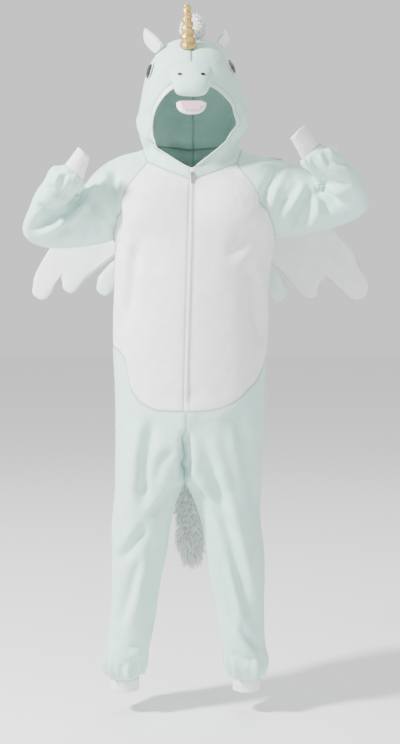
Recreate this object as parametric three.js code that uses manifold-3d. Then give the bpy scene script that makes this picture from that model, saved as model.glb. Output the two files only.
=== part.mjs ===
// A plush unicorn onesie with its hood up, hollow, as a standing wearer with raised, bent arms fills it.
// Millimetres. +Z is up, the front faces -Y and the wearer's left is +X.
// The origin lies between the shoulders, where the wearer carries the garment.

import * as THREE from 'three';
import Module from 'manifold-3d';

// ---------------------------------------------------------------- driving sizes

const PLUSH = 2.5;              // wall of the fleece
const RIB = 3;                  // wall of the cuffs
const ZIP_CHAIN = 2;            // wall of the zip
const SKIVE = 3;                // inner faces stop this many shifts further back at a seam
const SEAM_GAP = 0.3;           // between two pieces at a seam
const ZIP_HALF = 4;             // half width of the zip between the fronts
const BODY_POWER = 2.3;         // how square the body's rings are
const LEG_POWER = 2.1;          // how square the leg's rings are
const RAGLAN_ROWS = 6;          // rows up a raglan seam
const SHOULDER_COLUMNS = 4;     // columns across a sleeve's top at the neck
const BACK_COLUMNS = 5;         // columns from side seam to centre back

const SIDES = [{ name: 'right', sign: -1 }, { name: 'left', sign: 1 }];

const at = (x, y, z) => new THREE.Vector3(x, y, z);

// ---------------------------------------------------------------- tables

// Rings of the body: zip line, half widths to the wearer's right and left, depths to front and back.
const BODY_RINGS = [
  { z: -205, centre: -4, right: 192, left: 210, front: 148, back: 130 },
  { z: -300, centre: -7, right: 192, left: 199, front: 150, back: 126 },
  { z: -400, centre: -10, right: 193, left: 200, front: 148, back: 124 },
  { z: -500, centre: -13, right: 187, left: 198, front: 150, back: 134 },
  { z: -600, centre: -15, right: 180, left: 194, front: 152, back: 142 },
  { z: -655, centre: -16, right: 181, left: 197, front: 152, back: 144 },
];

// Rings of the legs: inseam and outseam x of each leg, depths to front and back.
const LEG_RINGS = [
  { z: -812, rightIn: -20, rightOut: -198, leftIn: -20, leftOut: 175, front: 122, back: 124 },
  { z: -860, rightIn: -42, rightOut: -203, leftIn: 4, leftOut: 172, front: 116, back: 120 },
  { z: -915, rightIn: -54, rightOut: -209, leftIn: 22, leftOut: 174, front: 110, back: 114 },
  { z: -975, rightIn: -60, rightOut: -206, leftIn: 28, leftOut: 182, front: 102, back: 106 },
  { z: -1035, rightIn: -75, rightOut: -208, leftIn: 37, leftOut: 182, front: 96, back: 100 },
  { z: -1095, rightIn: -84, rightOut: -206, leftIn: 50, leftOut: 182, front: 90, back: 95 },
  { z: -1155, rightIn: -92, rightOut: -212, leftIn: 60, leftOut: 182, front: 84, back: 91 },
  { z: -1210, rightIn: -104, rightOut: -218, leftIn: 68, leftOut: 185, front: 80, back: 88 },
  { z: -1250, rightIn: -114, rightOut: -230, leftIn: 75, leftOut: 189, front: 78, back: 86 },
  { z: -1280, rightIn: -123, rightOut: -229, leftIn: 83, leftOut: 187, front: 74, back: 80 },
  { z: -1297, rightIn: -131, rightOut: -219, leftIn: 92, leftOut: 179, front: 60, back: 64 },
  { z: -1305, rightIn: -135, rightOut: -212, leftIn: 98, leftOut: 172, front: 50, back: 52 },
];

const ANKLE_CUFF = [
  { z: -1320, rightIn: -136, rightOut: -211, leftIn: 99, leftOut: 171, front: 47, back: 49 },
  { z: -1336, rightIn: -137, rightOut: -210, leftIn: 100, leftOut: 170, front: 46, back: 48 },
];

// Lower edge of the belly panel: share of the half ring from zip to centre back, and height.
const BELLY_HEM = {
  right: [
    { share: 0, z: -626 }, { share: 0.08, z: -628 }, { share: 0.14, z: -620 }, { share: 0.2, z: -601 },
    { share: 0.262, z: -581 }, { share: 0.285, z: -488 }, { share: 0.36, z: -468 }, { share: 0.5, z: -455 },
  ],
  left: [
    { share: 0, z: -626 }, { share: 0.08, z: -630 }, { share: 0.14, z: -619 }, { share: 0.2, z: -604 },
    { share: 0.225, z: -578 }, { share: 0.285, z: -563 }, { share: 0.36, z: -535 }, { share: 0.43, z: -496 },
    { share: 0.5, z: -455 },
  ],
};

// Columns of the fronts, as shares of the half ring, and where they meet the neckline.
const FRONT_COLUMNS = [
  { share: 0.03, neck: 0.1 }, { share: 0.11, neck: 0.3 },
  { share: 0.2, neck: 0.47 }, { share: 0.262, neck: 0.6 }, { share: 0.285, neck: 0.68 },
  { share: 0.36, neck: 0.8 }, { share: 0.43, neck: 0.9 }, { share: 0.5, neck: 1 },
];

// Seams above the armholes.
const NECKLINE = {
  right: { front: [at(-54, -108, -36), at(-104, -70, -14)], top: [at(-118, 0, 22), at(-85, 62, 38)] },
  left: { front: [at(50, -108, -38), at(99, -70, -18)], top: [at(112, 0, 20), at(85, 62, 38)] },
};
const NECK_FRONT = at(-1, -122, -56);
const NECK_BACK = at(0, 92, 32);
const ZIP_TOP = at(-1, -121, -27);
const CHEST_LINE = [at(-3, -146, -150), at(-2, -135, -100)];
const SPINE_LINE = [at(-1, 133, -120), at(0, 118, -40)];
const RAGLAN = {
  right: {
    front: [at(-191, -70, -160), at(-178, -100, -110), at(-157, -110, -72), at(-132, -98, -38)],
    back: [at(-188, 70, -150), at(-170, 100, -90), at(-140, 106, -40), at(-110, 92, 5)],
  },
  left: {
    front: [at(197, -70, -160), at(176, -100, -122), at(160, -110, -88), at(135, -98, -50)],
    back: [at(200, 70, -150), at(174, 100, -90), at(140, 106, -40), at(110, 92, 5)],
  },
};

// Seams of the low crotch, from the lowest body ring down and in to the crotch point.
const CROTCH_FRONT = [at(-17, -136, -700), at(-18, -102, -750), at(-20, -52, -794)];
const CROTCH_BACK = [at(-17, 136, -700), at(-19, 110, -755), at(-20, 58, -798)];
const CROTCH_ROWS = 4;

// Sections along each sleeve: upper (inner elbow) and lower (outer elbow) outline, depth centre, half depth.
const SLEEVES = {
  right: [
    { topX: -190, topZ: 10, lowX: -228, lowZ: -214, y: -2, half: 92 },
    { topX: -226, topZ: -14, lowX: -274, lowZ: -221, y: -8, half: 86 },
    { topX: -253, topZ: -45, lowX: -324, lowZ: -224, y: -16, half: 80 },
    { topX: -270, topZ: -73, lowX: -372, lowZ: -222, y: -27, half: 74 },
    { topX: -278, topZ: -94, lowX: -409, lowZ: -207, y: -40, half: 68 },
    { topX: -280, topZ: -101, lowX: -424, lowZ: -179, y: -54, half: 64 },
    { topX: -277, topZ: -101, lowX: -415, lowZ: -150, y: -68, half: 61 },
    { topX: -272, topZ: -95, lowX: -397, lowZ: -115, y: -82, half: 58 },
    { topX: -266, topZ: -86, lowX: -381, lowZ: -82, y: -96, half: 54 },
    { topX: -263, topZ: -73, lowX: -356, lowZ: -54, y: -110, half: 48 },
    { topX: -262, topZ: -64, lowX: -335, lowZ: -25, y: -121, half: 42 },
    { topX: -263, topZ: -60, lowX: -306, lowZ: -20, y: -128, half: 30 },
  ],
  left: [
    { topX: 196, topZ: 12, lowX: 236, lowZ: -197, y: -2, half: 92 },
    { topX: 230, topZ: -1, lowX: 270, lowZ: -193, y: -8, half: 86 },
    { topX: 257, topZ: -15, lowX: 313, lowZ: -183, y: -16, half: 80 },
    { topX: 278, topZ: -28, lowX: 359, lowZ: -169, y: -27, half: 74 },
    { topX: 291, topZ: -42, lowX: 403, lowZ: -151, y: -40, half: 68 },
    { topX: 299, topZ: -57, lowX: 432, lowZ: -128, y: -54, half: 64 },
    { topX: 299, topZ: -58, lowX: 434, lowZ: -101, y: -68, half: 61 },
    { topX: 294, topZ: -52, lowX: 422, lowZ: -70, y: -82, half: 58 },
    { topX: 286, topZ: -43, lowX: 403, lowZ: -39, y: -96, half: 54 },
    { topX: 276, topZ: -32, lowX: 377, lowZ: -11, y: -110, half: 48 },
    { topX: 263, topZ: -17, lowX: 335, lowZ: 31, y: -121, half: 42 },
    { topX: 263, topZ: -10, lowX: 306, lowZ: 31, y: -128, half: 30 },
  ],
};
const WRIST_CUFF = {
  right: [
    { topX: -259, topZ: -48, lowX: -298, lowZ: -10, y: -139, half: 27 },
    { topX: -245, topZ: -7, lowX: -273, lowZ: 19, y: -165, half: 24 },
  ],
  left: [
    { topX: 256, topZ: 4, lowX: 296, lowZ: 42, y: -139, half: 27 },
    { topX: 233, topZ: 40, lowX: 267, lowZ: 70, y: -165, half: 24 },
  ],
};
// Rows drawn along the sleeve, counted in sections from the armhole.
const SLEEVE_ROWS = [0, 0.45, 1, 2, 3, 4, 5, 6, 7, 8, 9, 10, 11, 12];

// Rows of the hood, from the neckline to the crown: the face opening's edge, the brow or jaw, the side,
// the back corner and the back seam.
const HOOD_ROWS = {
  right: [
    { edge: at(-5, -121, -27), brow: at(-78, -96, 4), side: at(-128, -8, 48), rear: at(-86, 76, 62) },
    { edge: at(-48, -117, -4), brow: at(-98, -84, 28), side: at(-134, -14, 67), rear: at(-88, 84, 82) },
    { edge: at(-84, -106, 15), brow: at(-118, -76, 46), side: at(-137, -18, 86), rear: at(-92, 88, 104) },
    { edge: at(-104, -97, 38), brow: at(-128, -66, 68), side: at(-136, -20, 106), rear: at(-96, 90, 128) },
    { edge: at(-103, -98, 66), brow: at(-122, -70, 96), side: at(-131, -18, 130), rear: at(-98, 91, 152) },
    { edge: at(-97, -101, 95), brow: at(-116, -72, 128), side: at(-126, -14, 160), rear: at(-98, 90, 180) },
    { edge: at(-87, -108, 124), brow: at(-112, -78, 163), side: at(-121, -12, 191), rear: at(-92, 84, 214) },
    { edge: at(-60, -118, 155), brow: at(-96, -92, 203), side: at(-109, -16, 232), rear: at(-78, 70, 250) },
    { edge: at(-33, -124, 168), brow: at(-56, -118, 234), side: at(-69, -40, 284), rear: at(-44, 38, 288) },
  ],
  left: [
    { edge: at(3, -121, -27), brow: at(70, -96, 2), side: at(114, -8, 43), rear: at(86, 76, 60) },
    { edge: at(43, -117, 2), brow: at(92, -84, 26), side: at(124, -14, 61), rear: at(88, 84, 82) },
    { edge: at(72, -107, 25), brow: at(113, -76, 48), side: at(134, -18, 83), rear: at(92, 88, 104) },
    { edge: at(95, -98, 48), brow: at(129, -68, 74), side: at(139, -20, 107), rear: at(96, 90, 128) },
    { edge: at(116, -92, 76), brow: at(134, -66, 100), side: at(133, -18, 132), rear: at(98, 91, 152) },
    { edge: at(107, -99, 103), brow: at(122, -70, 134), side: at(123, -14, 162), rear: at(97, 90, 182) },
    { edge: at(92, -106, 130), brow: at(110, -78, 169), side: at(113, -12, 196), rear: at(88, 84, 214) },
    { edge: at(64, -115, 158), brow: at(88, -92, 208), side: at(99, -16, 236), rear: at(72, 70, 250) },
    { edge: at(33, -123, 170), brow: at(51, -118, 236), side: at(58, -40, 285), rear: at(42, 38, 288) },
  ],
};
const HOOD_SEAM = [
  at(0, 100, 58), at(0, 106, 82), at(0, 112, 108), at(0, 118, 134), at(0, 122, 160),
  at(0, 124, 188), at(0, 120, 220), at(0, 104, 256), at(0, 72, 280),
];
const CROWN = { edge: at(0, -126, 173), brow: at(0, -124, 242), side: at(0, -36, 297), rear: at(0, 24, 296) };
const CROWN_END = at(0, 58, 288);

// The largest folds: a line on the front (face -1) or the back (face 1), how deep, and how wide.
const FOLDS = [
  { x1: -98, z1: -628, x2: -122, z2: -850, depth: 12, width: 17, face: -1 },
  { x1: -116, z1: -905, x2: -190, z2: -1010, depth: 9, width: 15, face: -1 },
  { x1: -128, z1: -980, x2: -195, z2: -1170, depth: 9, width: 15, face: -1 },
  { x1: 16, z1: -660, x2: 78, z2: -880, depth: 10, width: 17, face: -1 },
  { x1: 78, z1: -880, x2: 172, z2: -1205, depth: 9, width: 16, face: -1 },
  { x1: 113, z1: -640, x2: 158, z2: -880, depth: 9, width: 15, face: -1 },
  { x1: -134, z1: -190, x2: -165, z2: -420, depth: 8, width: 15, face: -1 },
  { x1: 139, z1: -250, x2: 168, z2: -470, depth: 8, width: 15, face: -1 },
  { x1: -212, z1: -10, x2: -214, z2: -150, depth: 7, width: 15, face: -1 },
  { x1: -258, z1: -80, x2: -398, z2: -182, depth: 13, width: 14, face: -1 },
  { x1: -265, z1: -78, x2: -230, z2: -200, depth: 9, width: 13, face: -1 },
  { x1: 222, z1: -8, x2: 205, z2: -120, depth: 7, width: 15, face: -1 },
  { x1: 294, z1: -56, x2: 226, z2: -176, depth: 11, width: 13, face: -1 },
  { x1: 300, z1: -58, x2: 336, z2: -136, depth: 10, width: 12, face: -1 },
  { x1: 302, z1: -55, x2: 360, z2: -116, depth: 10, width: 12, face: -1 },
  { x1: -120, z1: -640, x2: -60, z2: -790, depth: 10, width: 18, face: 1 },
  { x1: 110, z1: -640, x2: 40, z2: -800, depth: 10, width: 18, face: 1 },
  { x1: -150, z1: -930, x2: -190, z2: -1130, depth: 9, width: 16, face: 1 },
  { x1: 90, z1: -950, x2: 150, z2: -1150, depth: 9, width: 16, face: 1 },
];

const COLOURS = {
  mint: 0xbfe8dc, white: 0xf6f6f4, rib: 0xf4f2f2, binding: 0xdff3ee, pink: 0xeab6c0, black: 0x1c1c20,
  gold: 0xd9b85c, paleMint: 0xe2f3ea, lining: 0xf0eeee, metal: 0xd8d8d8,
};
const METAL_COLOURS = ['gold', 'metal'];

// ---------------------------------------------------------------- curves and grids

const curveThrough = (points) => new THREE.CatmullRomCurve3(points, false, 'centripetal');

// Evenly spaced points along a smooth curve, ends included.
const spaced = (points, steps) => curveThrough(points).getSpacedPoints(steps);

// A column of a table at a height between its rows.
function columnAt(rows, key, column, value) {
  const descending = rows[0][key] > rows[rows.length - 1][key];
  let i = 0;
  while (i < rows.length - 2 && (descending ? rows[i + 1][key] > value : rows[i + 1][key] < value)) i += 1;
  const share = (value - rows[i][key]) / (rows[i + 1][key] - rows[i][key]);
  return THREE.MathUtils.lerp(rows[i][column], rows[i + 1][column], share);
}

const signedPower = (value, power) => Math.sign(value) * Math.pow(Math.abs(value), power);

// A point on the body: share 0 is the zip line, 0.5 the side seam and 1 the centre back.
function bodyPoint(side, share, z) {
  const ring = (column) => columnAt(BODY_RINGS, 'z', column, z);
  const angle = Math.PI * share;
  const across = signedPower(Math.sin(angle), 2 / BODY_POWER);
  const along = signedPower(Math.cos(angle), 2 / BODY_POWER);
  const depth = along > 0 ? ring('front') : ring('back');
  return at(ring('centre') + side.sign * ring(side.name) * across, -depth * along, z);
}

// A point on a leg's ring: share 0 and 1 are the inseam and 0.5 the outseam.
function legPoint(side, share, ring) {
  const inner = ring[`${side.name}In`];
  const outer = ring[`${side.name}Out`];
  const angle = 2 * Math.PI * share;
  const across = signedPower(Math.cos(angle), 2 / LEG_POWER);
  const along = signedPower(Math.sin(angle), 2 / LEG_POWER);
  const depth = along > 0 ? ring.front : ring.back;
  return at((inner + outer) / 2 + (inner - outer) / 2 * across, -depth * along, ring.z);
}

// A grid between four curves that meet at their ends.
function fillBetween(low, high, first, last, shares) {
  const rows = [];
  const lastRow = first.length - 1;
  const end = low.length - 1;
  for (let j = 0; j <= lastRow; j += 1) {
    const v = j / lastRow;
    rows.push(low.map((point, i) => {
      const u = shares[i];
      const across = first[j].clone().lerp(last[j], u);
      const up = point.clone().lerp(high[i], v);
      const corners = low[0].clone().lerp(low[end], u).lerp(high[0].clone().lerp(high[end], u), v);
      return across.add(up).sub(corners);
    }));
  }
  return rows;
}

// How far along a list of points each one lies, from 0 to 1.
function sharesAlong(points) {
  const lengths = [0];
  points.slice(1).forEach((point, i) => lengths.push(lengths[i] + point.distanceTo(points[i])));
  return lengths.map((length) => length / lengths[lengths.length - 1]);
}

// ---------------------------------------------------------------- the cloth shell

// One pool of outer points that neighbouring pieces share, so that they meet along the same line.
const pool = { index: new Map(), points: [], quads: [] };

function poolIndex(point) {
  const key = [point.x, point.y, point.z].map((value) => Math.round(value * 100)).join();
  if (!pool.index.has(key)) {
    pool.index.set(key, pool.points.length);
    pool.points.push(point.clone());
  }
  return pool.index.get(key);
}

const quadNormal = (points, [a, b, c, d]) => {
  const first = points[c].clone().sub(points[a]);
  return first.cross(points[d].clone().sub(points[b])).multiplyScalar(0.5);
};

// Adds a grid to the shell. pieceOf names the piece that each quad belongs to, and inside is a point that
// the grid faces away from.
function addGrid(rows, pieceOf, inside) {
  const ids = rows.map((row) => row.map(poolIndex));
  const added = [];
  for (let j = 0; j < rows.length - 1; j += 1) {
    for (let i = 0; i < rows[0].length - 1; i += 1) {
      added.push({ piece: pieceOf(i, j), corners: [ids[j][i], ids[j][i + 1], ids[j + 1][i + 1], ids[j + 1][i]] });
    }
  }
  const outwards = added.reduce((sum, { corners }) => {
    const normal = quadNormal(pool.points, corners);
    return sum + normal.dot(pool.points[corners[0]].clone().sub(inside));
  }, 0);
  if (outwards < 0) added.forEach((quad) => quad.corners.reverse());
  pool.quads.push(...added);
}

function poolNormals() {
  const normals = pool.points.map(() => at(0, 0, 0));
  pool.quads.forEach(({ corners }) => {
    const normal = quadNormal(pool.points, corners);
    corners.forEach((id) => normals[id].add(normal));
  });
  return normals.map((normal) => normal.normalize());
}

// Presses the largest folds into the shell along its normals.
function foldShell() {
  const normals = poolNormals();
  pool.points.forEach((point, id) => {
    const normal = normals[id];
    FOLDS.forEach(({ x1, z1, x2, z2, depth, width, face }) => {
      const facing = THREE.MathUtils.smoothstep(normal.y * face, 0.1, 0.6);
      const line = new THREE.Line3(at(x1, 0, z1), at(x2, 0, z2));
      const flat = at(point.x, 0, point.z);
      const distance = line.closestPointToPoint(flat, true, at(0, 0, 0)).distanceTo(flat);
      point.addScaledVector(normal, -depth * facing * Math.exp(-((distance / width) ** 2)));
    });
  });
}

// Turns one piece of the shell into a closed wall, drawn back from its neighbours at every edge.
function wallOf(piece, thickness, normals) {
  const quads = pool.quads.filter((quad) => quad.piece === piece).map((quad) => quad.corners);
  const edges = new Map();
  quads.forEach((corners) => corners.forEach((from, i) => {
    const to = corners[(i + 1) % 4];
    if (from === to) return;
    if (edges.has(`${to},${from}`)) edges.delete(`${to},${from}`);
    else edges.set(`${from},${to}`, { from, to, normal: quadNormal(pool.points, corners).normalize() });
  }));
  const pulls = new Map();
  edges.forEach(({ from, to, normal }) => {
    const along = pool.points[to].clone().sub(pool.points[from]).normalize();
    const inwards = normal.clone().cross(along).normalize();
    [from, to].forEach((id) => pulls.set(id, [...(pulls.get(id) ?? []), inwards]));
  });
  const shift = (id) => {
    const [one, two] = pulls.get(id) ?? [];
    if (!one) return at(0, 0, 0);
    const sum = one.clone().add(two ?? one);
    const reach = Math.max(0.5, 1 + one.dot(two ?? one));
    return sum.multiplyScalar(SEAM_GAP / 2 / reach);
  };
  const ids = [...new Set(quads.flat())];
  const local = new Map(ids.map((id, i) => [id, i]));
  const outer = ids.map((id) => pool.points[id].clone().add(shift(id)));
  const inner = ids.map((id, i) => outer[i].clone().addScaledVector(normals[id], -thickness)
    .addScaledVector(shift(id), SKIVE));
  const triangles = [];
  const face = (a, b, c) => { if (a !== b && b !== c && a !== c) triangles.push(a, b, c); };
  const behind = ids.length;
  quads.forEach((corners) => {
    const [a, b, c, d] = corners.map((id) => local.get(id));
    face(a, b, c);
    face(a, c, d);
    face(behind + a, behind + c, behind + b);
    face(behind + a, behind + d, behind + c);
  });
  edges.forEach(({ from, to }) => {
    const [a, b] = [local.get(from), local.get(to)];
    face(b, a, behind + a);
    face(b, behind + a, behind + b);
  });
  return geometryOf([...outer, ...inner], triangles);
}

function geometryOf(points, triangles) {
  const geometry = new THREE.BufferGeometry();
  geometry.setAttribute('position', new THREE.Float32BufferAttribute(points.flatMap((p) => [p.x, p.y, p.z]), 3));
  geometry.setIndex(triangles);
  geometry.computeVertexNormals();
  return geometry;
}

// ---------------------------------------------------------------- body, legs and ankle cuffs

const zipShare = Math.pow(ZIP_HALF / BODY_RINGS[0].right, BODY_POWER / 2) / Math.PI;
const frontShares = [0, zipShare, ...FRONT_COLUMNS.map((column) => column.share)];
const backShares = Array.from({ length: BACK_COLUMNS }, (_, i) => 0.5 + 0.5 * (i + 1) / BACK_COLUMNS);
const allShares = [...frontShares, ...backShares];
const SIDE_COLUMN = frontShares.length - 1;
const legShares = allShares.map((share, i) => (i < SIDE_COLUMN ? 0.5 * i / SIDE_COLUMN : share));
const [TOP_RING, BOTTOM_RING] = [BODY_RINGS[0].z, BODY_RINGS[BODY_RINGS.length - 1].z];
const BELLY_ROWS = 6;
const THIGH_ROWS = 3;

const hemHeight = (side, share) => columnAt(BELLY_HEM[side.name], 'share', 'z', share);

// Rows of the body from the armhole to the top of the legs. The belly hem is row BELLY_ROWS.
function bodyRows(side) {
  const rows = [];
  for (let j = 0; j <= BELLY_ROWS + THIGH_ROWS; j += 1) {
    rows.push(allShares.map((share) => {
      const hem = hemHeight(side, Math.min(share, 0.5));
      const z = j <= BELLY_ROWS
        ? THREE.MathUtils.lerp(TOP_RING, hem, j / BELLY_ROWS)
        : THREE.MathUtils.lerp(hem, BOTTOM_RING, (j - BELLY_ROWS) / THIGH_ROWS);
      return bodyPoint(side, share, z);
    }));
  }
  return rows;
}

// The seams above the armhole, as lists of points from low to high or from front to back.
function upperSeams(side) {
  const neck = NECKLINE[side.name];
  const beside = (point) => point.clone().setX(point.x + side.sign * ZIP_HALF);
  const [frontMeet, backMeet] = [neck.front[1], neck.top[1]];
  const underarm = bodyPoint(side, 0.5, TOP_RING);
  const frontNeck = curveThrough([beside(NECK_FRONT), ...neck.front]);
  return {
    zip: spaced([bodyPoint(side, zipShare, TOP_RING), ...CHEST_LINE.map(beside), beside(NECK_FRONT)], RAGLAN_ROWS),
    frontNeck: [0, ...FRONT_COLUMNS.map((column) => column.neck)].map((share) => frontNeck.getPointAt(share)),
    topNeck: spaced([frontMeet, neck.top[0], backMeet], SHOULDER_COLUMNS),
    backNeck: spaced([backMeet, at(side.sign * 45, 84, 36), NECK_BACK], BACK_COLUMNS),
    frontRaglan: spaced([underarm, ...RAGLAN[side.name].front, frontMeet], RAGLAN_ROWS),
    backRaglan: spaced([underarm, ...RAGLAN[side.name].back, backMeet], RAGLAN_ROWS),
    spine: spaced([bodyPoint(side, 1, TOP_RING), ...SPINE_LINE, NECK_BACK], RAGLAN_ROWS),
  };
}

function addBody(side, seams) {
  const rows = bodyRows(side);
  const inside = at(0, 0, -400);
  const upTo = (from, to) => rows.slice(0, BELLY_ROWS + 1).map((row) => row.slice(from, to + 1));
  const downTo = (from, to) => rows.slice(BELLY_ROWS).map((row) => row.slice(from, to + 1));
  addGrid(upTo(0, 1), () => 'zip', inside);
  addGrid(upTo(1, SIDE_COLUMN), () => `front_${side.name}`, inside);
  addGrid(downTo(0, SIDE_COLUMN), () => `leg_front_${side.name}`, inside);
  addGrid(rows.map((row) => row.slice(SIDE_COLUMN)), () => `back_${side.name}`, inside);

  const chest = rows[0].slice(1, SIDE_COLUMN + 1);
  const chestRows = fillBetween(chest, seams.frontNeck, seams.zip, seams.frontRaglan, sharesAlong(chest));
  addGrid(chestRows, () => `front_${side.name}`, inside);
  const shoulders = rows[0].slice(SIDE_COLUMN);
  const backRows = fillBetween(shoulders, seams.backNeck, seams.backRaglan, seams.spine, sharesAlong(shoulders));
  addGrid(backRows, () => `back_${side.name}`, inside);
  return rows[rows.length - 1];
}

// The legs' tops, closed round the low crotch, then the legs and their cuffs.
function addLeg(side, waist) {
  const crotch = legPoint(side, 0, LEG_RINGS[0]);
  const top = legShares.map((share) => legPoint(side, share, LEG_RINGS[0]));
  const front = spaced([waist[0], ...CROTCH_FRONT, crotch], CROTCH_ROWS);
  const back = spaced([waist[waist.length - 1], ...CROTCH_BACK, crotch], CROTCH_ROWS);
  const yoke = fillBetween(waist, top, front, back, allShares);
  const below = LEG_RINGS.slice(1).map((ring) => legShares.map((share) => legPoint(side, share, ring)));
  const legRows = [...yoke, ...below];
  const pieceOf = (i) => (i < SIDE_COLUMN ? `leg_front_${side.name}` : `back_${side.name}`);
  addGrid(legRows, pieceOf, at(top[SIDE_COLUMN].x / 2, 0, -900));

  const cuff = ANKLE_CUFF.map((ring) => legShares.map((share) => legPoint(side, share, ring)));
  const hem = legRows[legRows.length - 1];
  addGrid([hem, ...cuff], () => `cuff_ankle_${side.name}`, at(cuff[0][SIDE_COLUMN].x, 0, -1320));
}

// The zip runs on above the fronts, between the two ends of the neck band.
function addZipTop(seams) {
  const [right, left] = [seams.right.zip, seams.left.zip];
  const rows = right.map((point, j) => [point, point.clone().lerp(left[j], 0.5), left[j]]);
  rows[0][1] = bodyPoint(SIDES[0], 0, TOP_RING);
  const ends = SIDES.map((side) => HOOD_ROWS[side.name][0].edge);
  rows.push([ends[0], ends[0].clone().lerp(ends[1], 0.5), ends[1]]);
  addGrid(rows, () => 'zip', at(0, 0, -100));
}

// ---------------------------------------------------------------- sleeves

// A ring round a sleeve's section. It starts under the arm and turns by the front over the top.
function sleeveRing(section, count) {
  return Array.from({ length: count }, (_, i) => {
    const angle = 2 * Math.PI * i / (count - 1);
    const reach = (1 + Math.cos(angle)) / 2;
    return at(
      THREE.MathUtils.lerp(section.topX, section.lowX, reach),
      section.y - section.half * Math.sin(angle),
      THREE.MathUtils.lerp(section.topZ, section.lowZ, reach),
    );
  });
}

function addSleeve(side, seams) {
  const armhole = [
    ...seams.frontRaglan,
    ...seams.topNeck.slice(1),
    ...seams.backRaglan.slice(0, -1).reverse(),
  ];
  const sections = SLEEVES[side.name];
  const rings = [armhole, ...sections.map((section) => sleeveRing(section, armhole.length))];
  const columns = armhole.map((_, i) => curveThrough(rings.map((ring) => ring[i])));
  const rows = SLEEVE_ROWS.map((row) => columns.map((column) => column.getPoint(row / sections.length)));
  rows[0] = armhole;
  const elbow = sections[5];
  const inside = at((elbow.topX + elbow.lowX) / 2, elbow.y, (elbow.topZ + elbow.lowZ) / 2);
  addGrid(rows, () => `sleeve_${side.name}`, inside);

  const cuff = WRIST_CUFF[side.name].map((section) => sleeveRing(section, armhole.length));
  const mouth = WRIST_CUFF[side.name][1];
  addGrid([rows[rows.length - 1], ...cuff], () => `cuff_wrist_${side.name}`, at(mouth.topX, mouth.y, mouth.topZ));
}

// ---------------------------------------------------------------- hood

const neckOf = (seam) => [...seam.frontNeck, ...seam.topNeck.slice(1), ...seam.backNeck.slice(1)];

// Both halves take the same columns, so that they meet along the crown.
function addHood(side, seams, shares) {
  const neck = neckOf(seams);
  const rowThrough = (row, end) => {
    const curve = curveThrough([row.edge, row.brow, row.side, row.rear, end]);
    return shares.map((share) => curve.getPointAt(share));
  };
  const rows = [
    neck,
    ...HOOD_ROWS[side.name].map((row, j) => rowThrough(row, HOOD_SEAM[j])),
    rowThrough(CROWN, CROWN_END),
  ];
  const bound = (i, j) => i === 0 && j > 0;
  const pieceOf = (i, j) => (bound(i, j) ? `hood_binding_${side.name}` : `hood_${side.name}`);
  addGrid(rows, pieceOf, at(0, 0, 150));
}

const seams = {};
SIDES.forEach((side) => { seams[side.name] = upperSeams(side); });
SIDES.forEach((side) => {
  addLeg(side, addBody(side, seams[side.name]));
  addSleeve(side, seams[side.name]);
  addHood(side, seams[side.name], sharesAlong(neckOf(seams.right)));
});
addZipTop(seams);
foldShell();
const shellNormals = poolNormals();

// ---------------------------------------------------------------- solids that sit on the shell

// The outer face of some pieces, for finding the cloth under a piece that is sewn on.
function outerFace(pieces) {
  const triangles = pool.quads
    .filter((quad) => pieces.includes(quad.piece))
    .flatMap(({ corners: [a, b, c, d] }) => [a, b, c, a, c, d]);
  return new THREE.Mesh(geometryOf(pool.points, triangles), new THREE.MeshBasicMaterial({ side: THREE.DoubleSide }));
}
const hoodFace = outerFace(['hood_left', 'hood_right', 'hood_binding_left', 'hood_binding_right']);
const backFace = outerFace(['back_left', 'back_right']);

// Where a straight line from a point first meets a face, moved back out by a lift.
function landing(face, from, direction, lift) {
  const way = direction.clone().normalize();
  const start = from.clone().addScaledVector(way, -300);
  const [hit] = new THREE.Raycaster(start, way).intersectObject(face);
  return (hit ? hit.point : from.clone()).addScaledVector(way, -lift);
}

// A closed solid through rings of equal count, with its ends closed to a middle point.
function loft(rings) {
  const count = rings[0].length;
  const points = rings.flat();
  const triangles = [];
  for (let j = 0; j < rings.length - 1; j += 1) {
    for (let i = 0; i < count; i += 1) {
      const next = (i + 1) % count;
      const [a, b] = [j * count + i, j * count + next];
      triangles.push(a, b, b + count, a, b + count, a + count);
    }
  }
  const middle = (ring) => ring.reduce((sum, point) => sum.add(point), at(0, 0, 0)).divideScalar(count);
  const last = (rings.length - 1) * count;
  points.push(middle(rings[0]), middle(rings[rings.length - 1]));
  for (let i = 0; i < count; i += 1) {
    const next = (i + 1) % count;
    triangles.push(next, i, points.length - 2, last + i, last + next, points.length - 1);
  }
  return facingOut(points, triangles);
}

function facingOut(points, triangles) {
  let volume = 0;
  for (let i = 0; i < triangles.length; i += 3) {
    const [a, b, c] = [0, 1, 2].map((k) => points[triangles[i + k]]);
    volume += a.dot(b.clone().cross(c));
  }
  if (volume > 0) return geometryOf(points, triangles);
  const turned = [];
  for (let i = 0; i < triangles.length; i += 3) turned.push(triangles[i], triangles[i + 2], triangles[i + 1]);
  return geometryOf(points, turned);
}

// A round or oval ring of points about a centre, in the plane of two axes.
function oval(centre, across, up, halfAcross, halfUp, sides) {
  return Array.from({ length: sides }, (_, i) => {
    const angle = 2 * Math.PI * i / sides;
    return centre.clone()
      .addScaledVector(across, halfAcross * Math.cos(angle))
      .addScaledVector(up, halfUp * Math.sin(angle));
  });
}

const X = at(1, 0, 0);
const INTO = at(0, 1, 0);

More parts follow.
